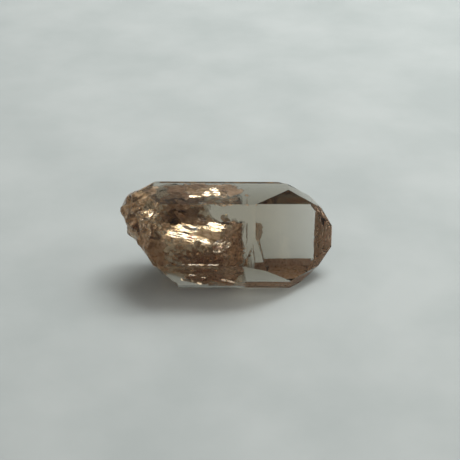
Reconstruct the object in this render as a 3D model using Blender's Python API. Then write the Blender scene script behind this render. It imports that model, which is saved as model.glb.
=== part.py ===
"""Smoky quartz crystal lying on one prism face, in metres, +Z up.

The crystal's long axis runs along X, with the clear pointed end at +X and the
rough, rounded end at -X. Six prism faces and six end faces are planes cut one
after another from a block. The rough end is a lumpy cap that is taken away
from the faceted form with a Boolean. The origin is at the middle of the
crystal's box, on the face it rests on.
"""

import math

import bmesh
import bpy
from mathutils import Vector, noise

MM = 0.001

# ---- Driving dimensions -------------------------------------------------

AXIS_HEIGHT = 9.9 * MM
BLOCK_SIZE = 80.0 * MM

# Each prism face: the direction it looks in, as an angle round the long axis
# (0 is -Y, 90 is up), and its distance from the axis.
PRISM_FACES = {
    "front_upper": (30.0, 8.207 * MM),
    "top": (90.0, 9.887 * MM),
    "back_upper": (150.0, 9.97 * MM),
    "back_lower": (210.0, 8.32 * MM),
    "resting": (270.0, AXIS_HEIGHT),
    "front_lower": (330.0, 9.334 * MM),
}

# Each end face stands over its prism face: the X where the two meet, its slope
# to the long axis, and how far it is turned round that axis. Quartz has 38.2
# degrees and no turn; grown faces vary a little.
END_FACES = {
    "front_upper": (6.29 * MM, 37.5, 0.0),
    "top": (13.30 * MM, 39.8, 0.0),
    "back_upper": (16.88 * MM, 41.6, 3.5),
    "back_lower": (17.86 * MM, 34.2, 2.5),
    "resting": (16.21 * MM, 38.4, 0.0),
    "front_lower": (13.89 * MM, 38.6, 0.0),
}

# A steep narrow face that bevels the ridge behind the top face near its end:
# the direction it looks in, the X where it starts on the ridge, and its slope.
STEEP_FACE_ANGLE = 133.8
STEEP_FACE_START = 11.08 * MM
STEEP_FACE_SLOPE = 16.3

# The small face over the front corner: how far it reaches from the corner up
# the end face's edge, back along the crystal and down the lower edge.
CORNER_REACH_UP = 5.9 * MM
CORNER_REACH_ALONG = 2.5 * MM
CORNER_REACH_DOWN = 3.2 * MM

# The rough end's own worn faces: the direction each looks in round the long
# axis, its slope from square across, and the X where it crosses the axis.
WORN_FACES = (
    (40.7, 51.6, -25.4 * MM),
    (77.6, 72.0, -45.5 * MM),
    (112.3, 65.2, -39.0 * MM),
    (110.6, 40.5, -27.7 * MM),
    (271.0, 34.9, -18.95 * MM),
    (300.6, 41.1, -19.5 * MM),
    (165.0, 45.0, -28.2 * MM),
    (225.0, 42.0, -22.0 * MM),
)
WORN_EDGE_ROUND = 0.30 * MM

# The grid that carries the rough surface, and how far its block runs past it.
CAP_WIDTH = 25.0 * MM
CAP_CELLS = 54
CAP_FAR_X = -60.0 * MM

# Lumps and pits on the rough end: the spacing and the height of each size.
LUMP_SIZES = (
    (4.6 * MM, 0.50 * MM),
    (2.1 * MM, 0.40 * MM),
    (1.1 * MM, 0.20 * MM),
)
LEDGE_SPACING = 1.9 * MM
LEDGE_HEIGHT = 0.30 * MM
LUMP_ORIGIN = Vector((3.7, 1.3, 8.1))

QUARTZ_COLOUR = (0.55, 0.42, 0.31, 1.0)
QUARTZ_ROUGHNESS = 0.06
QUARTZ_IOR = 1.544


def clear_scene():
    """Remove whatever the file opened with."""
    for old in list(bpy.data.objects):
        bpy.data.objects.remove(old, do_unlink=True)


def new_collection(name):
    """Make a collection under the scene's own."""
    collection = bpy.data.collections.new(name)
    bpy.context.scene.collection.children.link(collection)
    return collection


def outward(angle):
    """The unit direction across the long axis that a prism face looks in."""
    turn = math.radians(angle)
    return Vector((0.0, -math.cos(turn), math.sin(turn)))


def axis_point(x):
    """The point of the long axis at x."""
    return Vector((x, 0.0, AXIS_HEIGHT))


def prism_plane(name):
    """A prism face as a point and an outward normal."""
    angle, distance = PRISM_FACES[name]
    normal = outward(angle)
    return axis_point(0.0) + normal * distance, normal


def leaning_normal(angle, slope):
    """The outward normal of a face that leans in towards +X by slope."""
    lean = math.radians(slope)
    return Vector((math.sin(lean), 0.0, 0.0)) + outward(angle) * math.cos(lean)


def end_plane(name, start, slope, turn):
    """A face that leans in towards +X from its prism face, from start on."""
    angle, distance = PRISM_FACES[name]
    point = axis_point(start) + outward(angle) * distance
    return point, leaning_normal(angle + turn, slope)


def meeting_point(planes):
    """The point that three planes share, by Cramer's rule."""
    (point_a, a), (point_b, b), (point_c, c) = planes
    total = b.cross(c) * a.dot(point_a)
    total += c.cross(a) * b.dot(point_b)
    total += a.cross(b) * c.dot(point_c)
    return total / a.dot(b.cross(c))


def steep_plane():
    """The steep bevel of the ridge between the top and the back upper face."""
    across = (axis_point(STEEP_FACE_START), Vector((1.0, 0.0, 0.0)))
    point = meeting_point((prism_plane("top"), prism_plane("back_upper"), across))
    return point, leaning_normal(STEEP_FACE_ANGLE, STEEP_FACE_SLOPE)


def corner_plane():
    """The small face that cuts the corner of three front faces."""
    upper = prism_plane("front_upper")
    lower = prism_plane("front_lower")
    end = end_plane("front_upper", *END_FACES["front_upper"])
    corner = meeting_point((upper, lower, end))
    up_edge = upper[1].cross(end[1]).normalized()
    if up_edge.z < 0.0:
        up_edge.negate()
    down_edge = lower[1].cross(end[1]).normalized()
    if down_edge.z > 0.0:
        down_edge.negate()
    reach_up = corner + up_edge * CORNER_REACH_UP
    reach_along = corner - Vector((CORNER_REACH_ALONG, 0.0, 0.0))
    reach_down = corner + down_edge * CORNER_REACH_DOWN
    normal = (reach_along - reach_up).cross(reach_down - reach_up).normalized()
    if normal.dot(corner - reach_up) < 0.0:
        normal.negate()
    return reach_up, normal


def slice_off(mesh, plane):
    """Cut away what lies outside a plane and close the cut with one face."""
    point, normal = plane
    everything = mesh.verts[:] + mesh.edges[:] + mesh.faces[:]
    cut = bmesh.ops.bisect_plane(
        mesh,
        geom=everything,
        dist=1e-8,
        plane_co=point,
        plane_no=normal,
        clear_outer=True,
    )
    rim = [item for item in cut["geom_cut"] if isinstance(item, bmesh.types.BMEdge)]
    if rim:
        bmesh.ops.contextual_create(mesh, geom=rim)


def faceted_form():
    """The crystal as it grew: a block cut by every prism and end face."""
    mesh = bmesh.new()
    bmesh.ops.create_cube(mesh, size=BLOCK_SIZE)
    for name in PRISM_FACES:
        slice_off(mesh, prism_plane(name))
    for name, face in END_FACES.items():
        slice_off(mesh, end_plane(name, *face))
    slice_off(mesh, steep_plane())
    slice_off(mesh, corner_plane())
    bmesh.ops.recalc_face_normals(mesh, faces=mesh.faces)
    return mesh


def lumps(y, z, x):
    """How far the rough surface is pushed in along +X at one place."""
    place = Vector((x, y, z))
    push = 0.0
    for spacing, height in LUMP_SIZES:
        push += height * noise.noise(place / spacing + LUMP_ORIGIN)
    ledge = noise.noise(Vector((x, y * 0.45, z)) / LEDGE_SPACING - LUMP_ORIGIN)
    return push + LEDGE_HEIGHT * math.tanh(5.0 * ledge)


def rough_end_x(y, z):
    """The X of the rough end over one point of the cross-section.

    Each worn face is a sloping plane. The surface is their soft maximum, so
    the edges between them are rounded, with the lumps added.
    """
    across = Vector((0.0, y, z - AXIS_HEIGHT))
    heights = []
    for angle, slope, crossing in WORN_FACES:
        rise = across.dot(outward(angle)) * math.tan(math.radians(slope))
        heights.append(crossing + rise)
    highest = max(heights)
    spread = sum(math.exp((h - highest) / WORN_EDGE_ROUND) for h in heights)
    x = highest + WORN_EDGE_ROUND * math.log(spread)
    return x + lumps(y, z, x)


def rough_cutter():
    """A block beyond the rough end, whose +X side is the rough surface."""
    mesh = bmesh.new()
    bmesh.ops.create_grid(mesh, x_segments=CAP_CELLS, y_segments=CAP_CELLS, size=CAP_WIDTH / 2)
    for vert in mesh.verts:
        y = vert.co.x
        z = vert.co.y + AXIS_HEIGHT
        vert.co = Vector((rough_end_x(y, z), y, z))
    surface = mesh.faces[:]
    back = bmesh.ops.extrude_face_region(mesh, geom=surface)
    far_side = [item for item in back["geom"] if isinstance(item, bmesh.types.BMVert)]
    for vert in far_side:
        vert.co.x = CAP_FAR_X
    bmesh.ops.recalc_face_normals(mesh, faces=mesh.faces)
    return mesh


def add_object(name, mesh, collection):
    """Turn a bmesh into a named object in a collection."""
    data = bpy.data.meshes.new(name)
    mesh.to_mesh(data)
    mesh.free()
    thing = bpy.data.objects.new(name, data)
    collection.objects.link(thing)
    return thing


def quartz_material():
    """Clear smoky quartz."""
    material = bpy.data.materials.new("smoky_quartz")
    material.use_nodes = True
    shader = material.node_tree.nodes["Principled BSDF"]
    shader.inputs["Base Color"].default_value = QUARTZ_COLOUR
    shader.inputs["Roughness"].default_value = QUARTZ_ROUGHNESS
    shader.inputs["Metallic"].default_value = 0.0
    shader.inputs["IOR"].default_value = QUARTZ_IOR
    shader.inputs["Transmission Weight"].default_value = 1.0
    return material


def build_crystal():
    """The whole crystal: faceted form, less the rough end's cutter."""
    parts = new_collection("smoky_quartz_crystal")
    cutters = new_collection("cutters")
    crystal = add_object("crystal", faceted_form(), parts)
    cutter = add_object("rough_end_cutter", rough_cutter(), cutters)
    cutter.hide_render = True
    cutter.display_type = "WIRE"
    crystal.data.materials.append(quartz_material())
    breakage = crystal.modifiers.new("rough_end", "BOOLEAN")
    breakage.operation = "DIFFERENCE"
    breakage.solver = "EXACT"
    breakage.object = cutter
    return crystal, cutter


def put_origin_under_middle(crystal, cutter):
    """Slide crystal and cutter so that the box's middle is at X = Y = 0."""
    bpy.context.view_layer.update()
    shape = crystal.evaluated_get(bpy.context.evaluated_depsgraph_get())
    corners = [vert.co for vert in shape.data.vertices]
    middle_x = (min(c.x for c in corners) + max(c.x for c in corners)) / 2
    middle_y = (min(c.y for c in corners) + max(c.y for c in corners)) / 2
    for thing in (crystal, cutter):
        thing.location = (-middle_x, -middle_y, 0.0)


clear_scene()
put_origin_under_middle(*build_crystal())
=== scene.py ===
"""Smoky quartz crystal: the finished look of the part, in metres, +Z up."""

import math
from collections import namedtuple

import bmesh
import bpy
import numpy as np
from mathutils import Matrix, Vector


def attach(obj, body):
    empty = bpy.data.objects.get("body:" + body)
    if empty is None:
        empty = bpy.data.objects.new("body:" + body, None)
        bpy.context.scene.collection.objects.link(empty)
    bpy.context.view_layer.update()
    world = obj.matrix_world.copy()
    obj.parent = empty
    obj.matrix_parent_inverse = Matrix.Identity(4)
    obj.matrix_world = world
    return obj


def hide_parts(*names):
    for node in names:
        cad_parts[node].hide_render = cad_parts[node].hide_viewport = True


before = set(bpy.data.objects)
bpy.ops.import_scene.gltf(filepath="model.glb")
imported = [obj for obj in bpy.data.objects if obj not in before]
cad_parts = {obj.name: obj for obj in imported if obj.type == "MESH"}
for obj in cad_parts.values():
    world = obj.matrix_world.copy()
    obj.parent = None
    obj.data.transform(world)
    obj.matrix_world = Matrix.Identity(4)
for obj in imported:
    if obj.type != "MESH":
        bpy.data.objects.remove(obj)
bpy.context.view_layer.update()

# ---- Table, light and camera --------------------------------------------
# The crystal lies on a plain pale table that curves up behind it, in a dim
# room. A soft lamp stands high behind it like a window, and others light the
# backdrop and, faintly, the crystal's right side and front.

MM = 0.001

TABLE_HALF = 1.2
TABLE_GAP = 0.03 * MM
TABLE_BACK = 0.55
COVE_RADIUS = 0.5
WALL_HEIGHT = 1.2
TABLE_COLUMNS = 3
TABLE_ROWS = 60


def table_sweep():
    """A flat table that turns up into a wall behind.

    The run goes along +Y at Z = 0, round a quarter circle and then up; every
    point of the run is carried across in X.
    """
    flat = TABLE_HALF + TABLE_BACK
    turn = COVE_RADIUS * math.pi / 2
    run = np.linspace(0.0, flat + turn + WALL_HEIGHT, TABLE_ROWS)
    angle = np.clip((run - flat) / COVE_RADIUS, 0.0, math.pi / 2)
    climb = np.maximum(run - flat - turn, 0.0)
    y = np.minimum(run, flat) - TABLE_HALF + COVE_RADIUS * np.sin(angle)
    z = COVE_RADIUS * (1.0 - np.cos(angle)) + climb - TABLE_GAP
    x = np.linspace(-TABLE_HALF, TABLE_HALF, TABLE_COLUMNS)
    return np.stack(np.broadcast_arrays(x[None, :], y[:, None], z[:, None]), axis=-1)


def grid_mesh(name, points, closed=False):
    """A mesh from a grid of points (rows, columns, 3), four corners a face.

    With closed, the last column is joined back to the first.
    """
    rows, columns = points.shape[:2]
    index = np.arange(rows * columns).reshape(rows, columns)
    if closed:
        index = np.concatenate([index, index[:, :1]], axis=1)
    faces = np.stack(
        [index[:-1, :-1], index[:-1, 1:], index[1:, 1:], index[1:, :-1]], axis=-1
    ).reshape(-1, 4)
    mesh = bpy.data.meshes.new(name)
    mesh.from_pydata(points.reshape(-1, 3), [], faces)
    mesh.polygons.foreach_set("use_smooth", np.ones(len(faces), dtype=bool))
    mesh.update()
    return mesh


def new_piece(name, mesh):
    """Link a mesh into the scene as an object."""
    piece = bpy.data.objects.new(name, mesh)
    bpy.context.scene.collection.objects.link(piece)
    return piece


def new_material(name):
    """A node material, with its node tree and its Principled shader."""
    material = bpy.data.materials.new(name)
    material.use_nodes = True
    return material, material.node_tree, material.node_tree.nodes["Principled BSDF"]


def link(node_tree, source, socket, target, entry):
    """Join two nodes by their sockets' names."""
    node_tree.links.new(source.outputs[socket], target.inputs[entry])


def add_node(node_tree, kind, **values):
    """Add a shader node and set its input sockets by name."""
    node = node_tree.nodes.new(kind)
    for name, value in values.items():
        node.inputs[name.replace("_", " ")].default_value = value
    return node


def noise_node(node_tree, coordinates, stretch, scale, detail, distortion=0.0):
    """A noise texture on object coordinates, drawn out by stretch (x, y, z)."""
    mapping = node_tree.nodes.new("ShaderNodeMapping")
    mapping.inputs["Scale"].default_value = stretch
    link(node_tree, coordinates, "Object", mapping, "Vector")
    noise = add_node(node_tree, "ShaderNodeTexNoise", Scale=scale, Detail=detail)
    noise.inputs["Distortion"].default_value = distortion
    link(node_tree, mapping, "Vector", noise, "Vector")
    return noise


def colour_ramp(node_tree, stops):
    """A colour ramp with stops (place, colour)."""
    ramp = node_tree.nodes.new("ShaderNodeValToRGB")
    elements = ramp.color_ramp.elements
    while len(elements) < len(stops):
        elements.new(0.5)
    for element, (place, colour) in zip(elements, stops):
        element.position = place
        element.color = (*colour, 1.0)
    return ramp


# Matt paint, a little cloudy.
TABLE_STOPS = ((0.35, (0.385, 0.435, 0.435)), (0.65, (0.440, 0.490, 0.490)))
EVEN = (1.0, 1.0, 1.0)
CLOUD_SCALE = 38.0

table = new_piece("table", grid_mesh("table", table_sweep()))
table_paint, tree, shader = new_material("table_paint")
shader.inputs["Roughness"].default_value = 0.85
table_place = tree.nodes.new("ShaderNodeTexCoord")
clouds = noise_node(tree, table_place, EVEN, CLOUD_SCALE, detail=8.0)
paint = colour_ramp(tree, TABLE_STOPS)
link(tree, clouds, "Fac", paint, "Fac")
link(tree, paint, "Color", shader, "Base Color")
table.data.materials.append(table_paint)

# Each lamp: its name, its place, what it faces, its width and height, its
# power in watts and its colour.
LAMPS = (
    ("window", (0.12, 0.30, 0.55), (0.0, 0.0, 0.0), (0.42, 0.36), 3.3, (1.0, 0.985, 0.965)),
    ("backdrop", (0.60, 0.45, 0.75), (0.56, 1.05, 0.12), (0.7, 0.3), 6.4, (1.0, 0.98, 0.96)),
    ("side", (0.223, -0.037, 0.205), (0.0, 0.0, 0.0), (0.16, 0.136), 0.15, (1.0, 0.97, 0.93)),
    ("fill", (-0.36, -0.48, 0.24), (0.0, 0.0, 0.01), (0.26, 0.16), 0.42, (1.0, 0.95, 0.88)),
)


def soft_lamp(name, place, aim, size, power, colour):
    """A rectangular area lamp at place, facing aim."""
    lamp = bpy.data.lights.new(name, "AREA")
    lamp.shape = "RECTANGLE"
    lamp.size, lamp.size_y = size
    lamp.energy = power
    lamp.color = colour
    holder = bpy.data.objects.new(name, lamp)
    bpy.context.scene.collection.objects.link(holder)
    holder.location = place
    turn = (Vector(aim) - Vector(place)).to_track_quat("-Z", "Y")
    holder.rotation_euler = turn.to_euler()


for lamp_values in LAMPS:
    soft_lamp(*lamp_values)

# Dim cool walls under a warm pale ceiling.
ROOM_STOPS = ((0.0, (0.165, 0.18, 0.19)), (0.8, (0.33, 0.28, 0.255)))

room = bpy.data.worlds.new("room")
bpy.context.scene.world = room
room.use_nodes = True
tree = room.node_tree
room_place = tree.nodes.new("ShaderNodeTexCoord")
room_height = tree.nodes.new("ShaderNodeSeparateXYZ")
room_colours = colour_ramp(tree, ROOM_STOPS)
link(tree, room_place, "Generated", room_height, "Vector")
link(tree, room_height, "Z", room_colours, "Fac")
link(tree, room_colours, "Color", tree.nodes["Background"], "Color")

CAMERA_AIM = Vector((0.549, 5.134, 8.0)) * MM
CAMERA_ELEVATION = math.radians(31.7)
CAMERA_ROLL = math.radians(0.26)
CAMERA_DISTANCE = 0.230
CAMERA_LENS = 82.57

camera_data = bpy.data.cameras.new("camera")
camera_data.sensor_width = 36.0
camera_data.lens = CAMERA_LENS
camera_data.clip_start = 0.001
camera = bpy.data.objects.new("camera", camera_data)
bpy.context.scene.collection.objects.link(camera)
view_line = Vector((0.0, math.cos(CAMERA_ELEVATION), -math.sin(CAMERA_ELEVATION)))
camera.location = CAMERA_AIM - view_line * CAMERA_DISTANCE
camera_tilt = Matrix.Rotation(math.pi / 2 - CAMERA_ELEVATION, 3, "X")
camera.rotation_euler = (camera_tilt @ Matrix.Rotation(CAMERA_ROLL, 3, "Z")).to_euler()
bpy.context.scene.camera = camera
bpy.context.scene.view_settings.view_transform = "Standard"

# Light crosses the crystal many times before it comes out.
bpy.context.scene.cycles.max_bounces = 24
bpy.context.scene.cycles.glossy_bounces = 24
bpy.context.scene.cycles.transmission_bounces = 24
bpy.context.scene.cycles.transparent_max_bounces = 32

# ---- The clear quartz ----------------------------------------------------
# One grown crystal, clear and lightly smoky. Its faces are as they grew, with
# fine cross striations, and the far end is rough, frosted and stained.

crystal_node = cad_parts["crystal"]

FLAT_FACE_AREA = 1.0 * MM * MM
FACE_FIT = 0.003 * MM
FLAT_ANGLE = math.radians(0.5)
EDGE_WEAR = 0.07 * MM
ROUGH_CUTS = 2
ROUGH_END_LIMIT = -8.0 * MM
ROUGH_DEPTH = 0.12 * MM
ROUGH_GRAINS = ((0.055 * MM, 0.75 * MM, 11), (0.026 * MM, 0.33 * MM, 12))

# Triangles belong to one face when their normals agree to 1 part in
# NORMAL_STEPS and their distances to REACH_STEP.
NORMAL_STEPS = 200
REACH_STEP = 0.1 * MM
TINY = 1e-12
MERGE_DISTANCE = 1e-7

# What an edge that doesn't lie between two faces counts as, in radians.
OPEN_EDGE_ANGLE = 9.0

# The lattice that all noise is read from repeats after so many cells, and is
# moved off the origin by so many.
LATTICE_CELLS = 32
LATTICE_SHIFT = 7.3


def vertex_values(mesh, attribute):
    """A mesh's vertex places ("co") or normals ("normal") as an array (n, 3)."""
    values = np.empty(len(mesh.vertices) * 3)
    mesh.vertices.foreach_get(attribute, values)
    return values.reshape(-1, 3)


def node_triangles(node):
    """The corners of a CAD node's triangles, as an array (n, 3, 3)."""
    mesh = node.data
    mesh.calc_loop_triangles()
    index = np.empty(len(mesh.loop_triangles) * 3, dtype=np.int32)
    mesh.loop_triangles.foreach_get("vertices", index)
    return vertex_values(mesh, "co")[index].reshape(-1, 3, 3)


def flat_faces(triangles):
    """The crystal's large flat faces, as outward normals and distances.

    Triangles that share a rounded normal and distance from the origin are one
    face; a face counts when its triangles add up to FLAT_FACE_AREA.
    """
    side_a = triangles[:, 1] - triangles[:, 0]
    side_b = triangles[:, 2] - triangles[:, 0]
    cross = np.cross(side_a, side_b)
    area = np.linalg.norm(cross, axis=1) / 2
    normal = cross / np.maximum(2 * area, TINY)[:, None]
    reach = np.einsum("ij,ij->i", normal, triangles.mean(axis=1))
    key = np.round(np.column_stack([normal * NORMAL_STEPS, reach / REACH_STEP])).astype(int)
    member = np.unique(key, axis=0, return_inverse=True)[1].ravel()
    total = np.bincount(member, weights=area)
    normals = np.column_stack([np.bincount(member, weights=area * n) for n in normal.T])
    reaches = np.bincount(member, weights=area * reach) / np.maximum(total, TINY)
    chosen = total > FLAT_FACE_AREA
    lengths = np.linalg.norm(normals, axis=1, keepdims=True)
    return (normals / np.maximum(lengths, TINY))[chosen], reaches[chosen]


def lattice_noise(points, spacing, seed):
    """Smooth noise between -1 and 1 at points (n, 3), features of one spacing.

    Each corner of a cubic lattice has a seeded random value, and a point's
    value is blended from its cell's eight corners with smoothed weights.
    """
    lattice = np.random.default_rng(seed).uniform(-1.0, 1.0, (LATTICE_CELLS,) * 3)
    place = points / spacing + LATTICE_SHIFT
    cell = np.floor(place).astype(int)
    part = place - cell
    part = part * part * (3.0 - 2.0 * part)
    value = np.zeros(len(points))
    for corner in np.ndindex(2, 2, 2):
        weight = np.prod(np.where(corner, part, 1.0 - part), axis=1)
        x, y, z = ((cell + corner) % LATTICE_CELLS).T
        value += weight * lattice[x, y, z]
    return value


def roughened(values, points, layers, first_seed=0):
    """Values with noise added at points: each layer is a height, a spacing and a seed."""
    for height, spacing, seed in layers:
        values = values + height * lattice_noise(points, spacing, first_seed + seed)
    return values


face_normals, face_reaches = flat_faces(node_triangles(crystal_node))


def depth_below_faces(points):
    """How far points (n, 3) lie below the nearest of the large flat faces."""
    return (face_reaches - points @ face_normals.T).min(axis=1)


def refined_crystal():
    """The crystal's solid, with finely worn edges and a finer mesh at its rough end.

    The node's loose triangles are merged and each flat face is made one face,
    whose edges are then bevelled. Edges that touch no flat face are cut finer.
    """
    shape = bmesh.new()
    shape.from_mesh(crystal_node.data)
    bmesh.ops.remove_doubles(shape, verts=shape.verts, dist=MERGE_DISTANCE)
    for face in shape.faces:
        middle = np.array([face.calc_center_median()])
        face.smooth = depth_below_faces(middle)[0] > FACE_FIT
    inner = []
    for edge in shape.edges:
        touches_flat = not all(face.smooth for face in edge.link_faces)
        if touches_flat and edge.calc_face_angle(OPEN_EDGE_ANGLE) < FLAT_ANGLE:
            inner.append(edge)
    bmesh.ops.dissolve_edges(shape, edges=inner, use_verts=True)
    rough_edges = [edge for edge in shape.edges if all(face.smooth for face in edge.link_faces)]
    bmesh.ops.subdivide_edges(shape, edges=rough_edges, cuts=ROUGH_CUTS, use_grid_fill=True)
    ridges = [edge for edge in shape.edges if not any(face.smooth for face in edge.link_faces)]
    bmesh.ops.bevel(
        shape,
        geom=ridges,
        offset=EDGE_WEAR,
        segments=2,
        profile=0.5,
        affect="EDGES",
        clamp_overlap=True,
    )
    for edge in shape.edges:
        edge.smooth = all(face.smooth for face in edge.link_faces)
    bmesh.ops.triangulate(shape, faces=[face for face in shape.faces if len(face.verts) > 3])
    mesh = bpy.data.meshes.new("clear_quartz")
    shape.to_mesh(mesh)
    shape.free()
    return mesh


quartz_mesh = refined_crystal()
quartz_places = vertex_values(quartz_mesh, "co")
quartz_normals = vertex_values(quartz_mesh, "normal")
depth = depth_below_faces(quartz_places)
at_rough_end = quartz_places[:, 0] < ROUGH_END_LIMIT
roughness = np.clip(depth / ROUGH_DEPTH, 0.0, 1.0) * at_rough_end
push = roughened(0.0, quartz_places, ROUGH_GRAINS)
quartz_places = quartz_places + quartz_normals * (push * roughness)[:, None]
quartz_mesh.vertices.foreach_set("co", quartz_places.ravel())
rough_mask = quartz_mesh.attributes.new("rough", "FLOAT", "POINT")
rough_mask.data.foreach_set("value", roughness)
quartz_mesh.update()
quartz = new_piece("clear_quartz", quartz_mesh)


def add_absorption(node_tree, colour, density):
    """Give a material a volume that absorbs light."""
    absorption = node_tree.nodes.new("ShaderNodeVolumeAbsorption")
    absorption.inputs["Color"].default_value = colour
    absorption.inputs["Density"].default_value = density
    link(node_tree, absorption, "Volume", node_tree.nodes["Material Output"], "Volume")


def attribute_reader(node_tree, name):
    """A node that reads a point attribute."""
    reader = node_tree.nodes.new("ShaderNodeAttribute")
    reader.attribute_name = name
    return reader


def map_range(node_tree, source, socket, from_range, to_range):
    """A value carried from one range to another, held to the ends."""
    node = node_tree.nodes.new("ShaderNodeMapRange")
    node.inputs["From Min"].default_value, node.inputs["From Max"].default_value = from_range
    node.inputs["To Min"].default_value, node.inputs["To Max"].default_value = to_range
    link(node_tree, source, socket, node, "Value")
    return node


QUARTZ_IOR = 1.544
ROUGH_TINT = (0.93, 0.84, 0.72, 1.0)
FROST_RANGE = (0.0, 0.12)
SMOKE_COLOUR = (0.60, 0.54, 0.42, 1.0)
SMOKE_DENSITY = 100.0
STRIATION_STRETCH = (5.0, 0.25, 0.25)
STRIATION_SCALE = 500.0
STRIATION_DEPTH = 0.05 * MM

quartz_glass, tree, shader = new_material("smoky_quartz_glass")
shader.inputs["IOR"].default_value = QUARTZ_IOR
shader.inputs["Transmission Weight"].default_value = 1.0
quartz_place = tree.nodes.new("ShaderNodeTexCoord")
rough_reader = attribute_reader(tree, "rough")
tint = tree.nodes.new("ShaderNodeMix")
tint.data_type = "RGBA"
tint.inputs["A"].default_value = (1.0, 1.0, 1.0, 1.0)
tint.inputs["B"].default_value = ROUGH_TINT
link(tree, rough_reader, "Fac", tint, "Factor")
link(tree, tint, "Result", shader, "Base Color")
frost = map_range(tree, rough_reader, "Fac", (0.0, 1.0), FROST_RANGE)
link(tree, frost, "Result", shader, "Roughness")
striations = noise_node(tree, quartz_place, STRIATION_STRETCH, STRIATION_SCALE, detail=5.0)
relief = add_node(tree, "ShaderNodeBump", Strength=0.30, Distance=STRIATION_DEPTH)
link(tree, striations, "Fac", relief, "Height")
link(tree, relief, "Normal", shader, "Normal")
add_absorption(tree, SMOKE_COLOUR, SMOKE_DENSITY)
quartz.data.materials.append(quartz_glass)
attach(quartz, "root")
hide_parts("crystal")

# ---- The stained zone -----------------------------------------------------
# From the rough end to past the middle the quartz is shattered and healed,
# and iron has stained it brown, with a ragged edge towards the clear end. The
# stain bends no light of its own: it only tints what passes.

# The rough end has no flat faces. Directions spread evenly over its half of a
# sphere stand in for them, each with how far the crystal reaches that way.
END_SAMPLES = 48
GOLDEN_TURN = math.pi * (3.0 - math.sqrt(5.0))
LEAST_HEADING = 1e-4
FAR = 1.0

end_turn = np.arange(END_SAMPLES) * GOLDEN_TURN
end_x = -(np.arange(END_SAMPLES) + 0.5) / END_SAMPLES
end_ring = np.sqrt(1.0 - end_x**2)
end_normals = np.column_stack([end_x, end_ring * np.cos(end_turn), end_ring * np.sin(end_turn)])
end_reaches = (vertex_values(quartz_mesh, "co") @ end_normals.T).max(axis=0)
skin_normals = np.vstack([face_normals, end_normals])
skin_reaches = np.concatenate([face_reaches, end_reaches])


def depth_in_quartz(points):
    """How deep points (n, 3) lie below the crystal's skin, in metres."""
    return (skin_reaches - points @ skin_normals.T).min(axis=1)


def reach_to_skin(origins, directions, margin):
    """How far rays run inside the crystal before margin below its skin.

    Each face gives (reach - margin - n.origin) / n.direction where the ray
    heads for it; the smallest is the answer.
    """
    heading = directions @ skin_normals.T
    room = skin_reaches - margin[:, None] - origins @ skin_normals.T
    run = np.where(heading > LEAST_HEADING, room / np.maximum(heading, LEAST_HEADING), FAR)
    return np.maximum(run.min(axis=1), 0.0)


def step_up(values, start, width):
    """A smooth step from 0 to 1 that begins at start and takes width."""
    part = np.clip((values - start) / width, 0.0, 1.0)
    return part * part * (3.0 - 2.0 * part)


# The main crack's plane goes through CRACK_POINT and climbs along X and Y.
CRACK_POINT = (-7.0 * MM, -1.0 * MM, 12.5 * MM)
CRACK_CLIMB = (-0.08, 0.372)


def crack_height(x, y):
    """The height of the main crack's plane: level + climb * way, along Y and X."""
    point_x, point_y, level = CRACK_POINT
    climb_x, climb_y = CRACK_CLIMB
    return level + climb_y * (y - point_y) + climb_x * (x - point_x)


# Low down the quartz is clear: from FOOT_START the clear foot grows towards
# the rough end, and it fades out where FOOT_FADE (start, width along -X) says.
FOOT_LEVEL = 0.5 * MM
FOOT_START = -4.5 * MM
FOOT_SLOPE = 0.6
FOOT_FADE = (12.5 * MM, 2.5 * MM)


def clear_foot(x):
    """The height under which the quartz is clear, before the rough end."""
    rise = FOOT_SLOPE * np.maximum(FOOT_START - x, 0.0)
    return FOOT_LEVEL + rise * (1.0 - step_up(-x, *FOOT_FADE))


# A clear layer lies under the upper front edge, its faces sloped by
# CORNER_SLOPE against Y. It grows along X as CORNER_GROWTH (start, width) says.
CORNER_TOP = 17.36 * MM
CORNER_SLOPE = 0.62
CORNER_THICKNESS = 4.3 * MM
CORNER_GROWTH = (-5.8 * MM, 3.4 * MM)
CORNER_RUFFLES = ((0.55 * MM, 1.7 * MM, 17), (0.35 * MM, 0.45 * MM, 18))


def on_x_axis(x):
    """Points on the X axis, to read noise along a line."""
    return np.column_stack([x, 0.0 * x, 0.0 * x])


def ruffle(x):
    """How far the clear corner's border wanders up and down along X."""
    return roughened(0.0, on_x_axis(x), CORNER_RUFFLES)


# The stain's roof: its level under the clear corner, how far it rises towards
# the rough end, its gap under the main crack, and its rise over that crack's
# end. Each step is a start and a width, along -X for those of ROOF_RISE.
ROOF_LEVEL = 13.1 * MM
ROOF_RISE = 6.0 * MM
ROOF_RISE_STEP = (5.2 * MM, 2.0 * MM)
ROOF_CRACK_GAP = 0.5 * MM
ROOF_CRACK_STEP = (14.0 * MM, 3.0 * MM)
ROOF_NOSE_RISE = 2.0 * MM
ROOF_NOSE_STEP = (-1.5 * MM, 1.5 * MM)


def stain_roof(x, y):
    """The top of the stain, the lower of two surfaces.

    One is the plane z = low - CORNER_SLOPE * y, whose low sinks where the clear
    corner grows. The other is the main crack's plane less a gap.
    """
    low = ROOF_LEVEL + CORNER_THICKNESS * (1.0 - step_up(x, *CORNER_GROWTH))
    low += ROOF_RISE * step_up(-x, *ROOF_RISE_STEP)
    low += ruffle(x)
    under_crack = crack_height(x, y) - ROOF_CRACK_GAP + ROOF_RISE * step_up(-x, *ROOF_CRACK_STEP)
    under_crack = under_crack + ROOF_NOSE_RISE * step_up(x, *ROOF_NOSE_STEP)
    return np.minimum(low - CORNER_SLOPE * y, under_crack)


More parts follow.
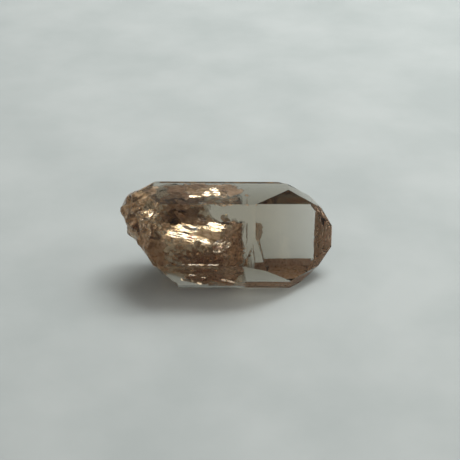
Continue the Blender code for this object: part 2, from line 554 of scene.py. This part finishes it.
STAIN_START = -20.4 * MM
STAIN_END = 3.1 * MM
STAIN_ROWS = 200
STAIN_SPOKES = 220
STAIN_AXIS_Y = 0.4 * MM
STAIN_AXIS_Z = 7.0 * MM
STAIN_NOSE_LIFT = 7.0 * MM
STAIN_LIFT_STEP = (-21.0 * MM, 11.0 * MM)
STAIN_GIRTH = 6.0 * MM
STAIN_LEAST_RADIUS = 0.3 * MM
STAIN_BLUNTNESS = 12
STAIN_MARGIN = 0.95 * MM
STAIN_END_MARGIN = 1.2 * MM
STAIN_END_STEP = (13.0 * MM, 4.0 * MM)
STAIN_RAGGED_REACH = 3.0 * MM
STAIN_CORE_GAP = 0.1 * MM

# Noise on the stain's form: the height, spacing and seed of each layer.
MARGIN_NOISE = ((0.45 * MM, 2.6 * MM, 23), (0.35 * MM, 1.1 * MM, 27))
RAGGED_NOISE = ((1.9 * MM, 2.4 * MM, 21), (0.6 * MM, 0.9 * MM, 22))
FINE_NOISE = ((0.16 * MM, 0.5 * MM, 26),)
ROOF_NOISE = ((0.9 * MM, 1.9 * MM, 24), (0.5 * MM, 0.8 * MM, 28))
FOOT_NOISE = ((0.4 * MM, 1.3 * MM, 29),)


def all_pairs(first, second):
    """Every pair of a value of first with one of second, as two flat arrays."""
    return (grid.ravel() for grid in np.meshgrid(first, second, indexing="ij"))


def stained_zone():
    """The stain's outer form as a tube round the long axis, closed at both ends.

    place = core + direction * r: r runs to a ruffled margin under the skin,
    and the points are then pressed down to the roof and up to the clear foot.
    """
    along = np.linspace(0.0, 1.0, STAIN_ROWS)
    turn = np.linspace(0.0, 2 * math.pi, STAIN_SPOKES, endpoint=False)
    along, turn = all_pairs(along, turn)
    x = STAIN_START + (STAIN_END - STAIN_START) * (0.5 - 0.5 * np.cos(math.pi * along))
    lift = STAIN_NOSE_LIFT * (1.0 - step_up(x, *STAIN_LIFT_STEP))
    direction = np.column_stack([np.zeros_like(turn), np.cos(turn), np.sin(turn)])
    core = np.column_stack([x, np.full_like(x, STAIN_AXIS_Y), STAIN_AXIS_Z + lift])
    near = core + direction * STAIN_GIRTH
    margin = STAIN_MARGIN + STAIN_END_MARGIN * step_up(-x, *STAIN_END_STEP)
    reach = reach_to_skin(core, direction, roughened(margin, near, MARGIN_NOISE))
    closing = np.sqrt(np.clip(1.0 - np.abs(2 * along - 1.0) ** STAIN_BLUNTNESS, 0.0, 1.0))
    places = core + direction * (np.maximum(reach, STAIN_LEAST_RADIUS) * closing)[:, None]
    ragged = roughened(0.0, near, RAGGED_NOISE)
    places[:, 0] += ragged * closing * np.clip(x / STAIN_RAGGED_REACH + 1.0, 0.0, 1.0)
    fine = roughened(0.0, places, FINE_NOISE)
    places += direction * (fine * closing)[:, None]
    roof = roughened(stain_roof(places[:, 0], places[:, 1]), near, ROOF_NOISE)
    foot = roughened(clear_foot(x), near, FOOT_NOISE)
    places[:, 2] = np.maximum(places[:, 2], np.minimum(foot, core[:, 2] - STAIN_CORE_GAP))
    places[:, 2] = np.minimum(places[:, 2], np.maximum(roof, core[:, 2] + STAIN_CORE_GAP))
    return places.reshape(STAIN_ROWS, STAIN_SPOKES, 3)


UPPER_STAIN_MIDDLE = np.array([-9.8, 2.6, 15.4]) * MM
UPPER_STAIN_HALVES = np.array([5.6, 4.4, 3.2]) * MM
UPPER_STAIN_ROWS = 90
UPPER_STAIN_SPOKES = 140
UPPER_STAIN_MARGIN = 0.8 * MM
UPPER_STAIN_CRACK_GAP = 0.4 * MM
UPPER_STAIN_LUMPS = ((0.28, 2.2 * MM, 71), (0.16, 0.9 * MM, 72))


def upper_stain():
    """A lumpy oval cloud under the top face, kept inside the skin and over the crack.

    place = middle + direction * r, with r the oval's own radius times noise,
    or less where the skin or the crack is nearer.
    """
    polar = np.linspace(0.0, math.pi, UPPER_STAIN_ROWS)
    turn = np.linspace(0.0, 2 * math.pi, UPPER_STAIN_SPOKES, endpoint=False)
    polar, turn = all_pairs(polar, turn)
    ring = np.sin(polar)
    direction = np.column_stack([-np.cos(polar), ring * np.cos(turn), ring * np.sin(turn)])
    radius = 1.0 / np.linalg.norm(direction / UPPER_STAIN_HALVES, axis=1)
    spots = UPPER_STAIN_MIDDLE + direction * radius[:, None]
    radius *= roughened(1.0, spots, UPPER_STAIN_LUMPS)
    origins = np.broadcast_to(UPPER_STAIN_MIDDLE, direction.shape)
    skin = reach_to_skin(origins, direction, np.full(len(direction), UPPER_STAIN_MARGIN))
    places = UPPER_STAIN_MIDDLE + direction * np.minimum(radius, skin)[:, None]
    floor = crack_height(places[:, 0], places[:, 1]) + UPPER_STAIN_CRACK_GAP
    places[:, 2] = np.maximum(places[:, 2], np.minimum(floor, UPPER_STAIN_MIDDLE[2]))
    return places.reshape(UPPER_STAIN_ROWS, UPPER_STAIN_SPOKES, 3)


def closed_body(name, points):
    """A closed body from a grid whose rows run round it and end in a point.

    The points of each end row are merged, and the faces are turned outwards.
    """
    mesh = grid_mesh(name, points, closed=True)
    shape = bmesh.new()
    shape.from_mesh(mesh)
    bmesh.ops.remove_doubles(shape, verts=shape.verts, dist=MERGE_DISTANCE)
    bmesh.ops.recalc_face_normals(shape, faces=shape.faces)
    shape.to_mesh(mesh)
    shape.free()
    return mesh


STAIN_COLOUR = (0.79, 0.48, 0.10, 1.0)
STAIN_DENSITY = 74.0

stain_cloud, tree, shader = new_material("iron_stain")
shader.inputs["IOR"].default_value = 1.0
shader.inputs["Transmission Weight"].default_value = 1.0
shader.inputs["Roughness"].default_value = 0.0
add_absorption(tree, STAIN_COLOUR, STAIN_DENSITY)

for name, points in (("stained_zone", stained_zone()), ("upper_stain", upper_stain())):
    stain = new_piece(name, closed_body(name, points))
    stain.data.materials.append(stain_cloud)
    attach(stain, "root")

# ---- The healed cracks ------------------------------------------------------
# Thin crumpled sheets where the crystal broke and grew together again. They
# hold films of air and iron: some flash silver and gold, some are only brown.

# Each crack: its middle and half its length and width in mm; its spin in its
# own plane, tilt about X, dip about Y and turn about Z in degrees; how strongly
# it is crumpled; how much of it flashes; how dark and how rusty it is; how much
# of it is there; the seed of its shape; and how far it bows, per mm. A WHOLE one
# flashes in large patches. A GLINT is small and bright and may lie in clear quartz.
GLINT = 2.0
WHOLE = 1.0
Crack = namedtuple(
    "Crack", "name middle halves angles crumple flashing dark rust share seed bow", defaults=(0.0,)
)
CRACKS = (
    Crack("main_crack", (-7.0, -1.9, 12.5), (8.6, 5.0), (0, 20, 5, 0), 0.10, WHOLE, 0.0, 0.0, 0.50, 31),
    Crack("upper_crack", (-4.6, 2.8, 16.9), (5.2, 2.9), (0, 8, 4, 0), 0.09, WHOLE, 0.0, 0.0, 0.46, 32),
    Crack("corner_glint", (-0.4, 2.0, 13.1), (1.2, 1.1), (0, 59, -20, 0), 0.10, GLINT, 0.0, 0.0, 0.30, 57),
    Crack("mid_glints", (-1.1, -6.5, 11.4), (2.2, 1.5), (20, 59, -20, 0), 0.16, GLINT, 0.0, 0.1, 0.24, 60),
    Crack("upper_veil", (-4.8, 4.2, 16.3), (9.8, 4.2), (0, 6, 0, 0), 0.22, 0.1, 0.3, 0.7, 0.62, 33),
    Crack("upper_left_veil", (-9.6, 0.6, 14.4), (5.6, 3.6), (0, 46, 0, 0), 0.30, 0.0, 0.4, 0.6, 0.56, 34),
    Crack("back_veil", (-0.8, 3.6, 10.6), (4.3, 5.0), (0, -32, 0, 0), 0.22, 0.2, 0.0, 0.5, 0.40, 46),
    Crack("dark_veil", (-10.6, 0.2, 14.0), (3.3, 3.0), (0, 48, 0, 8), 0.30, 0.0, 1.0, 0.0, 0.52, 35),
    Crack("low_veil", (-5.6, -3.0, 6.4), (8.6, 4.2), (0, 12, 0, -6), 0.30, 0.4, 0.0, 0.3, 0.24, 36),
    Crack("mid_veil", (-6.4, -3.9, 8.6), (8.2, 3.4), (0, 56, 0, -11), 0.22, 0.5, 0.0, 0.3, 0.18, 40),
    Crack("right_veil", (-0.2, -1.9, 9.6), (4.4, 4.6), (0, 54, 0, -11), 0.20, 0.4, 0.0, 0.7, 0.34, 41),
    Crack("front_veil", (-4.2, -3.6, 4.4), (7.6, 3.8), (0, 74, 0, -8), 0.22, 0.5, 0.0, 1.0, 0.42, 37),
    Crack("floor_veil", (-2.6, -2.0, 2.6), (6.6, 3.2), (0, 32, 0, 0), 0.26, 0.6, 0.0, 0.8, 0.30, 43),
    Crack("curtain", (2.9, 0.4, 8.6), (12.0, 13.0), (0, 0, 90, 0), 0.90, 0.0, 0.0, 0.6, 0.30, 44, -0.045),
    Crack("end_top_film", (-16.6, 2.2, 17.3), (2.8, 3.6), (0, 6, -14, 0), 0.18, 0.2, 0.0, 0.2, 0.30, 58),
    Crack("end_veil", (-16.6, 0.4, 13.0), (4.0, 4.6), (0, 26, -20, 0), 0.40, 0.6, 0.0, 0.3, 0.20, 38),
    Crack("end_low_veil", (-14.4, -1.5, 8.4), (4.4, 5.2), (0, 40, -10, 0), 0.40, 0.3, 0.0, 0.2, 0.16, 39),
    Crack("end_low_film", (-15.4, -5.2, 9.2), (3.0, 4.6), (0, 60, -8, 0), 0.20, 0.0, 0.0, 0.3, 0.45, 56),
    Crack("end_flash", (-16.5, -2.8, 16.0), (2.5, 2.3), (10, 18, -4, 0), 0.16, WHOLE, 0.0, 0.0, 0.50, 47),
    Crack("ridge_glint", (-6.6, -9.2, 8.40), (5.0, 0.20), (18, 47, 21, 0), 0.03, GLINT, 0.0, 0.0, 0.60, 48),
    Crack("foot_glint", (-7.5, -4.8, 2.2), (3.1, 0.42), (-22, 88, 0, -11), 0.012, GLINT, 0.0, 0.0, 0.95, 49),
    Crack("front_glint", (-7.1, -6.2, 5.0), (1.1, 0.35), (-3, 88, 0, -11), 0.04, GLINT, 0.0, 0.2, 0.60, 50),
    Crack("low_glint", (-4.9, -5.8, 3.9), (0.9, 0.30), (-3, 88, 0, -11), 0.04, GLINT, 0.0, 0.2, 0.60, 53),
    Crack("copper_glints", (0.2, -5.4, 2.5), (2.5, 0.9), (-26, 88, 0, -11), 0.05, GLINT, 0.0, 0.25, 0.46, 54),
)
CRACK_ROWS = 150
CRACK_COLUMNS = 130
CRACK_MARGIN = 0.35 * MM
CRACK_END_MARGIN = 1.2 * MM
CRACK_END_STEP = (13.5 * MM, 3.0 * MM)
FOLD_STRETCH = np.array([0.28, 1.0, 1.0])
VEIL_STRETCH = np.array([0.80, 1.0, 1.0])
FOLD_SKEW = 0.2
FOLDS = ((1.8 * MM, 2.2 * MM, 0), (0.9 * MM, 0.80 * MM, 100), (0.45 * MM, 0.32 * MM, 200))

# A sheet's border: where it lies between the middle, 0, and the oval's rim, 1;
# how wide it fades; its noise; and how the sheet thins out close to the skin.
BORDER_PLACE = 0.94
BORDER_WIDTH = 0.45
BORDER_NOISE = ((0.22, 1.6 * MM, 300), (0.16, 0.6 * MM, 400))
SKIN_SHARE = 0.35
SKIN_FADE = 2.2 * MM
FOOT_RAGGED = 1.5 * MM
CORNER_RAGGED = 2.0 * MM

# Where two of the cracks flash: middle (x, y) and half-widths in mm.
FLASH_SPOTS = {
    "main_crack": (
        ((-2.7, -0.8), (2.4, 1.3)),
        ((-6.4, 0.8), (2.6, 1.1)),
        ((-8.3, -1.5), (2.8, 1.1)),
        ((-10.8, -3.4), (3.0, 1.1)),
        ((-6.2, -4.4), (3.0, 1.1)),
    ),
    "upper_crack": (
        ((-2.9, 4.2), (1.2, 0.9)),
        ((-4.4, 2.4), (1.1, 0.9)),
        ((-2.4, 2.6), (0.9, 0.9)),
        ((-7.8, 1.3), (2.2, 0.35)),
    ),
}


def turned(points, degrees):
    """Points (n, 3) spun about Z, then turned about X, about Y and about Z."""
    spin, tilt, dip, turn = (math.radians(angle) for angle in degrees)
    spun = [[math.cos(spin), -math.sin(spin), 0], [math.sin(spin), math.cos(spin), 0], [0, 0, 1]]
    about_x = [[1, 0, 0], [0, math.cos(tilt), -math.sin(tilt)], [0, math.sin(tilt), math.cos(tilt)]]
    about_y = [[math.cos(dip), 0, math.sin(dip)], [0, 1, 0], [-math.sin(dip), 0, math.cos(dip)]]
    about_z = [[math.cos(turn), -math.sin(turn), 0], [math.sin(turn), math.cos(turn), 0], [0, 0, 1]]
    return points @ (np.array(about_z) @ np.array(about_y) @ np.array(about_x) @ np.array(spun)).T


def in_clear_corner(points, edge):
    """Which points lie in the clear layer under the upper front edge.

    The layer lies between two planes of equal z + CORNER_SLOPE * y; edge makes
    its border ragged.
    """
    level = points[:, 2] + CORNER_SLOPE * points[:, 1] + CORNER_RAGGED * edge - ruffle(points[:, 0])
    thickness = CORNER_THICKNESS * step_up(points[:, 0], *CORNER_GROWTH)
    return (level > CORNER_TOP - thickness) & (level < CORNER_TOP)


def crack_sheet(crack, stretch):
    """A crumpled oval sheet: a turned plane, pushed out by folds along its length.

    The folds are noise in three sizes, drawn out by stretch. Returns the
    grid's points, which of them lie in the quartz, and how well each is
    inside the sheet's ragged border, 0 at the border and 1 in the middle.
    """
    s, t = all_pairs(np.linspace(-1.0, 1.0, CRACK_ROWS), np.linspace(-1.0, 1.0, CRACK_COLUMNS))
    x = s * crack.halves[0] * MM
    y = t * crack.halves[1] * MM
    flat = np.column_stack([x, y + FOLD_SKEW * x, np.full_like(x, crack.seed * MM)])
    folds = roughened(0.0, flat * stretch, FOLDS, crack.seed)
    z = crack.crumple * folds + crack.bow * (x * x + y * y) / MM
    places = turned(np.column_stack([x, y, z]), crack.angles) + np.array(crack.middle) * MM
    edge = roughened(0.0, flat, BORDER_NOISE, crack.seed)
    inside = np.clip((BORDER_PLACE + edge - (s**4 + t**4) ** 0.25) / BORDER_WIDTH, 0.0, 1.0)
    depth = depth_in_quartz(places)
    inside *= np.clip(SKIN_SHARE + (depth - CRACK_MARGIN) / SKIN_FADE, SKIN_SHARE, 1.0)
    margin = min(CRACK_MARGIN, 0.5 * crack.halves[1] * MM)
    if crack.flashing != WHOLE:
        margin = margin + CRACK_END_MARGIN * step_up(-places[:, 0], *CRACK_END_STEP)
    kept = (depth > margin) & (inside > 0.0)
    if crack.flashing != GLINT:
        kept &= ~in_clear_corner(places, edge)
        kept &= places[:, 2] > clear_foot(places[:, 0]) + FOOT_RAGGED * edge
    return places, kept, inside


def sheet_mesh(name, places, kept, rows, columns):
    """A grid mesh of the kept points alone, and which points those are."""
    index = np.arange(rows * columns).reshape(rows, columns)
    faces = np.stack([index[:-1, :-1], index[1:, :-1], index[1:, 1:], index[:-1, 1:]], axis=-1)
    faces = faces.reshape(-1, 4)
    return mesh_of_faces(name, places, faces[kept[faces].all(axis=1)])


def mesh_of_faces(name, places, faces):
    """A mesh of some faces over places, and which of the places it uses."""
    used, index = np.unique(faces, return_inverse=True)
    mesh = bpy.data.meshes.new(name)
    mesh.from_pydata(places[used], [], index.reshape(faces.shape))
    mesh.polygons.foreach_set("use_smooth", np.ones(len(faces), dtype=bool))
    mesh.update()
    return mesh, used


# Flashes are broken up by a spread noise, drawn out like the folds, and by
# specks. Each formula takes a level and the weights of the two.
SPREAD_SPACING, SPREAD_SEED = 1.1 * MM, 51
SPECK_SPACING, SPECK_SEED = 0.55 * MM, 52
VEIL_FLASH = (-1.0, 4.0, 4.0)
WHOLE_FLASH = (0.3, 1.3, 1.3)
SPOT_FLASH = (-0.32, 0.6, 0.3)
SPOT_STRENGTH = 1.6


def flash_share(places, crack):
    """How much each point flashes, 0 to 1: round the crack's spots, or else by noise."""
    spread = lattice_noise(places * FOLD_STRETCH, SPREAD_SPACING, SPREAD_SEED)
    specks = lattice_noise(places, SPECK_SPACING, SPECK_SEED)
    spots = np.zeros(len(places))
    for (x, y), (half_x, half_y) in FLASH_SPOTS.get(crack.name, ()):
        away = ((places[:, 0] / MM - x) / half_x) ** 2 + ((places[:, 1] / MM - y) / half_y) ** 2
        spots = np.maximum(spots, np.exp(-(away**1.5)))
    if crack.name in FLASH_SPOTS:
        level, spread_weight, speck_weight = SPOT_FLASH
        strength = 1.0
    else:
        level, spread_weight, speck_weight = WHOLE_FLASH if crack.flashing >= WHOLE else VEIL_FLASH
        strength = crack.flashing
    flash = strength * (level + spread_weight * spread + speck_weight * specks)
    return np.clip(flash + SPOT_STRENGTH * spots, 0.0, 1.0)


def mixed_colour(node_tree, factor, socket, first, second):
    """A mix of two colours, each given as a node and its socket."""
    mix = node_tree.nodes.new("ShaderNodeMix")
    mix.data_type = "RGBA"
    link(node_tree, factor, socket, mix, "Factor")
    link(node_tree, *first, mix, "A")
    link(node_tree, *second, mix, "B")
    return mix


# The film's colours, each as stops (place, colour) along a noise.
BROWN_STOPS = (
    (0.30, (0.30, 0.19, 0.08)),
    (0.44, (0.64, 0.46, 0.27)),
    (0.56, (0.88, 0.68, 0.46)),
    (0.70, (0.98, 0.87, 0.68)),
)
RUST_STOPS = (
    (0.30, (0.60, 0.38, 0.24)),
    (0.45, (0.86, 0.58, 0.40)),
    (0.58, (0.96, 0.70, 0.51)),
    (0.72, (0.98, 0.80, 0.63)),
)
DARK_STOPS = (
    (0.40, (0.05, 0.025, 0.005)),
    (0.60, (0.24, 0.14, 0.04)),
)
METAL_STOPS = (
    (0.31, (0.45, 0.62, 0.80)),
    (0.39, (0.86, 0.84, 0.78)),
    (0.50, (0.88, 0.82, 0.66)),
    (0.61, (0.86, 0.70, 0.46)),
    (0.68, (0.75, 0.54, 0.52)),
)

# Each noise in the film: its stretch, scale, detail and distortion.
MOTTLE = ((1.0, 1.3, 1.3), 800.0, 6.0, 0.6)
STREAKS = ((1.6, 1.6, 0.75), 900.0, 5.0, 0.5)
RAINBOW = ((1.0, 1.6, 1.6), 380.0, 2.0, 1.0)
HOLES = ((1.0, 1.4, 1.4), 560.0, 6.0, 0.4)

# What flash turns into metal and polish, and what the holes and the cover
# together turn into alpha.
FLASH_RANGE = (0.0, 0.6)
METAL_RANGE = (0.0, 0.95)
POLISH_RANGE = (0.45, 0.22)
PRESENT_RANGE = (0.87, 1.09)
LACE_RANGE = (0.0, 0.94)

crack_film, tree, shader = new_material("crack_film")
shader.inputs["Specular IOR Level"].default_value = 0.15
film_place = tree.nodes.new("ShaderNodeTexCoord")
flash_reader = attribute_reader(tree, "flash")
dark_reader = attribute_reader(tree, "dark")
rust_reader = attribute_reader(tree, "rust")
cover_reader = attribute_reader(tree, "cover")
mottle = noise_node(tree, film_place, *MOTTLE)
browns = colour_ramp(tree, BROWN_STOPS)
link(tree, mottle, "Fac", browns, "Fac")
streaks = noise_node(tree, film_place, *STREAKS)
rusts = colour_ramp(tree, RUST_STOPS)
link(tree, streaks, "Fac", rusts, "Fac")
rainbow = noise_node(tree, film_place, *RAINBOW)
metals = colour_ramp(tree, METAL_STOPS)
link(tree, rainbow, "Fac", metals, "Fac")
gilded = mixed_colour(tree, flash_reader, "Fac", (browns, "Color"), (metals, "Color"))
rusted = mixed_colour(tree, rust_reader, "Fac", (gilded, "Result"), (rusts, "Color"))
darks = colour_ramp(tree, DARK_STOPS)
link(tree, mottle, "Fac", darks, "Fac")
darkened = mixed_colour(tree, dark_reader, "Fac", (rusted, "Result"), (darks, "Color"))
link(tree, darkened, "Result", shader, "Base Color")
metal = map_range(tree, flash_reader, "Fac", FLASH_RANGE, METAL_RANGE)
link(tree, metal, "Result", shader, "Metallic")
polish = map_range(tree, flash_reader, "Fac", FLASH_RANGE, POLISH_RANGE)
link(tree, polish, "Result", shader, "Roughness")
holes = noise_node(tree, film_place, *HOLES)
present = tree.nodes.new("ShaderNodeMath")
link(tree, holes, "Fac", present, 0)
link(tree, cover_reader, "Fac", present, 1)
lace = map_range(tree, present, "Value", PRESENT_RANGE, LACE_RANGE)
link(tree, lace, "Result", shader, "Alpha")


def film_piece(name, mesh, slot, **values):
    """A piece of crack film, with the values that its material reads at each point."""
    for attribute in ("flash", "dark", "rust", "cover"):
        layer = mesh.attributes.new(attribute, "FLOAT", "POINT")
        layer.data.foreach_set("value", np.broadcast_to(values[attribute], len(mesh.vertices)).copy())
    mesh.materials.append(crack_film)
    piece = new_piece(name, mesh)
    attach(piece, "root")


COVER_FLOOR = 0.25
COVER_FLASH = 0.15

for crack in CRACKS:
    stretch = FOLD_STRETCH if crack.flashing >= WHOLE else VEIL_STRETCH
    places, kept, inside = crack_sheet(crack, stretch)
    mesh, used = sheet_mesh(crack.name, places, kept, CRACK_ROWS, CRACK_COLUMNS)
    flash = flash_share(places[used], crack)
    cover = COVER_FLOOR + inside[used] * (crack.share + COVER_FLASH * flash)
    film_piece(
        crack.name, mesh, "bright_cracks", flash=flash, dark=crack.dark, rust=crack.rust, cover=cover
    )

# ---- The films along the edges -----------------------------------------------
# Thin brown films lie just under several faces along their edges. Seen straight
# through a face they are iron stain; under the clear end the front sees most of
# them only by reflection inside the crystal, and there their brown is a painted
# reflection of the stained zone. The dark film along the top back edge is
# painted shade. One small stain stands across the crystal by the front corner,
# shaped like a drop.

# Each film: the direction in degrees that its face looks in and how far the
# face leans towards +X, where the film starts and ends in X, where it runs
# across the face, how ragged its far border is and its depth, all in mm, how
# dark it is, how much of it is there, and the seed of its border.
EdgeFilm = namedtuple("EdgeFilm", "name angle lean along across ragged depth dark cover seed")
EDGE_FILMS = (
    # Painted shade: a dark film that draws the dark line along the top back edge.
    EdgeFilm("back_ridge_shade", 90, 0, (-14.4, 12.6), (-5.60, -4.95), 0.08, 0.10, 1.0, 0.70, 81),
    EdgeFilm("back_foot_film", 210, 0, (3.8, 18.4), (1.86, 3.40), 0.10, 0.12, 0.15, 0.70, 82),
    EdgeFilm("resting_film", 270, 0, (5.4, 17.0), (3.95, -1.8), 0.30, 0.12, 0.40, 0.70, 83),
    # These three lie under the end faces, which the front sees only by reflection: a painted reflection of
    # the stained zone's brown.
    EdgeFilm("back_end_film", 212, 34, (17.0, 23.0), (-3.0, 18.0), 0.30, 0.15, 0.15, 0.54, 84),
    EdgeFilm("upper_end_film", 153, 42, (16.0, 23.0), (-14.0, 14.0), 0.30, 0.15, 0.15, 0.54, 85),
    EdgeFilm("lower_end_film", 270, 38, (16.0, 23.0), (-12.0, 12.0), 0.30, 0.15, 0.15, 0.54, 86),
    EdgeFilm("front_foot_film", 330, 0, (-4.0, 19.0), (-3.35, -4.70), 0.12, 0.10, 0.20, 0.58, 87),
)
FILM_ROWS = 240
FILM_COLUMNS = 40
FILM_SKIN_GAP = 0.02 * MM
FILM_RAGGED_SPACING = 0.8 * MM
FILM_FADE = 4.0
FILM_THINNING = 0.35
FILM_RIPPLE = 0.30
FILM_RIPPLE_SPACING = 0.35 * MM
FILM_RIPPLE_SEED = 10


def edge_film(film):
    """A thin film under one flat face: place = along + across + the face's depth.

    Its second border is moved by noise, and one under a face that doesn't lean
    thins out towards its +X end.
    """
    look, lean = math.radians(film.angle), math.radians(film.lean)
    ring = np.array([0.0, -math.cos(look), math.sin(look)]) * math.cos(lean)
    face = (face_normals @ (ring + [math.sin(lean), 0.0, 0.0])).argmax()
    normal = face_normals[face]
    side = np.cross([1.0, 0.0, 0.0], normal)
    side /= np.linalg.norm(side)
    forward = np.cross(normal, side)
    forward /= forward[0]
    x = np.linspace(*film.along, FILM_ROWS) * MM
    x, part = all_pairs(x, np.linspace(0.0, 1.0, FILM_COLUMNS))
    low, high = film.across
    ragged = film.ragged * part * lattice_noise(on_x_axis(x), FILM_RAGGED_SPACING, film.seed)
    across = (low + (high - low) * part + ragged) * MM
    root = normal * (face_reaches[face] - film.depth * MM)
    places = root + (x - root[0])[:, None] * forward + across[:, None] * side
    kept = depth_below_faces(places) > FILM_SKIN_GAP
    fade = step_up(x, (film.along[1] - FILM_FADE) * MM, FILM_FADE * MM) * (film.lean == 0)
    return places, kept, fade


for film in EDGE_FILMS:
    places, kept, fade = edge_film(film)
    mesh, used = sheet_mesh(film.name, places, kept, FILM_ROWS, FILM_COLUMNS)
    cover = film.cover - FILM_THINNING * fade[used]
    if film.lean:
        line = on_x_axis(places[used, 0])
        cover += FILM_RIPPLE * lattice_noise(line, FILM_RIPPLE_SPACING, film.seed + FILM_RIPPLE_SEED)
    film_piece(film.name, mesh, "brown_inclusions", flash=0.0, dark=film.dark, rust=1.0, cover=cover)

DROP_MIDDLE = np.array([4.1, 2.35, 9.0]) * MM
DROP_LONG = np.array([0.0, 0.857, -0.515])
DROP_WIDE = np.array([0.0, 0.515, 0.857])
DROP_ROWS = 130
DROP_COLUMNS = 50
DROP_SKIN_GAP = 0.2 * MM
DROP_BUMPS = ((0.10 * MM, 0.8 * MM, 93),)

# The drop's own outline, in mm: its top, neck and tail end; its flat left side;
# the middle and stretch of its round head; and the tail's slope and width.
DROP_TOP = 2.2
DROP_NECK = -1.6
DROP_TAIL = -6.0
DROP_LEFT = -5.0
HEAD_GAP = 0.5
HEAD_MIDDLE = 0.4
HEAD_STRETCH = 2.2
TAIL_START = 1.0
TAIL_SLOPE = -1.05
TAIL_WIDTH = 1.3
TAIL_STEP = (0.6, 0.8)
HEAD_WAVE = 1.1
TAIL_WAVE = 0.5
DROP_WAVES = ((0.8, 0.9 * MM, 91), (0.4, 0.35 * MM, 92))


def drop_film():
    """A drop with a thin wavy tail, standing across the long axis.

    For each height b the drop runs from its left to its right border. Above
    the neck the left one is straight and the right one a round head; below it
    both are a sloping ribbon's borders. Waves move them.
    """
    b = np.linspace(DROP_TAIL, DROP_TOP, DROP_ROWS)
    b, part = all_pairs(b, np.linspace(0.0, 1.0, DROP_COLUMNS))
    head = np.sqrt(np.clip((DROP_TOP - b) * (b - DROP_NECK - HEAD_GAP), 0.0, None))
    wave = roughened(0.0, on_x_axis(b) * MM, DROP_WAVES)
    tail = TAIL_START + TAIL_SLOPE * (b - DROP_NECK)
    step_place, step_width = TAIL_STEP
    in_tail = step_up(-b, -DROP_NECK - step_place, step_width)
    right = (1.0 - in_tail) * (HEAD_MIDDLE + HEAD_STRETCH * head) + in_tail * tail
    right += (HEAD_WAVE + (TAIL_WAVE - HEAD_WAVE) * in_tail) * wave
    left = (1.0 - in_tail) * DROP_LEFT + in_tail * (tail - TAIL_WIDTH + TAIL_WAVE * wave)
    a = left + (right - left) * part
    places = DROP_MIDDLE + (a[:, None] * DROP_LONG + b[:, None] * DROP_WIDE) * MM
    places[:, 0] = roughened(places[:, 0], places, DROP_BUMPS)
    return places, depth_below_faces(places) > DROP_SKIN_GAP


places, kept = drop_film()
mesh, used = sheet_mesh("drop_film", places, kept, DROP_ROWS, DROP_COLUMNS)
film_piece("drop_film", mesh, "brown_inclusions", flash=0.0, dark=0.25, rust=0.4, cover=0.62)

# ---- The stained skin of the rough end ---------------------------------------
# Just under the worn, frosted surface of the rough end the quartz is crazed
# and stained tan, and tiny flat cracks glint in it.

SKIN_DEPTH = 0.4 * MM
SKIN_LEAST_ROUGHNESS = 0.25
CRAZING_HEIGHT, CRAZING_SPACING, CRAZING_SEED = 0.05 * MM, 0.45 * MM, 63
PATCH_MIDDLE = np.array([-16.7, -3.0, 17.0]) * MM
PATCH_REACH = np.array([2.4, 3.2, 2.8]) * MM
PATCH_HEIGHT, PATCH_SPACING, PATCH_SEED = 0.22 * MM, 0.6 * MM, 64


def near_bright_patch(points):
    """How near each point is to the patch of tiny bright cracks, 0 to 1."""
    return np.exp(-(((points - PATCH_MIDDLE) / PATCH_REACH) ** 2).sum(axis=1))


def skin_under_rough_end():
    """The rough end's surface, moved in along its normals by SKIN_DEPTH.

    Noise crazes it, most strongly in the bright patch.
    """
    rough_vertices = roughness > SKIN_LEAST_ROUGHNESS
    faces = np.empty(len(quartz_mesh.polygons) * 3, dtype=np.int32)
    quartz_mesh.polygons.foreach_get("vertices", faces)
    faces = faces.reshape(-1, 3)
    places = quartz_places - quartz_normals * SKIN_DEPTH
    crazing = CRAZING_HEIGHT * lattice_noise(places, CRAZING_SPACING, CRAZING_SEED)
    patch_height = PATCH_HEIGHT * near_bright_patch(places)
    crazing += patch_height * lattice_noise(places, PATCH_SPACING, PATCH_SEED)
    places += quartz_normals * crazing[:, None]
    mesh, used = mesh_of_faces("end_skin", places, faces[rough_vertices[faces].all(axis=1)])
    return mesh, places[used]


# How strongly the skin glints and how warm its brown is, each a level, the
# weight of its noise, and the noise's spacing and seed.
SKIN_GLINTS = (-0.9, 3.4, 0.8 * MM, 61)
SKIN_WARMTH = (0.15, 0.5, 2.5 * MM, 62)

# How much of the skin is there: at least, more over the clear foot, still more
# where it glints there, and less in the bright patch.
SKIN_COVER = 0.32
SKIN_COVER_HIGH = 0.22
SKIN_COVER_GLINT = 0.2
SKIN_COVER_PATCH = -0.40
SKIN_FOOT_STEP = (-1.0 * MM, 1.5 * MM)


def noise_share(points, level, weight, spacing, seed):
    """A share from 0 to 1 at each point: level + weight * noise."""
    return np.clip(level + weight * lattice_noise(points, spacing, seed), 0.0, 1.0)


skin_mesh, skin_places = skin_under_rough_end()
glints = noise_share(skin_places, *SKIN_GLINTS)
warmth = noise_share(skin_places, *SKIN_WARMTH)
over_foot = step_up(skin_places[:, 2] - clear_foot(skin_places[:, 0]), *SKIN_FOOT_STEP)
skin_cover = SKIN_COVER + (SKIN_COVER_HIGH + SKIN_COVER_GLINT * glints) * over_foot
skin_cover += SKIN_COVER_PATCH * near_bright_patch(skin_places)
film_piece("end_skin", skin_mesh, "brown_inclusions", flash=glints, dark=0.0, rust=warmth, cover=skin_cover)
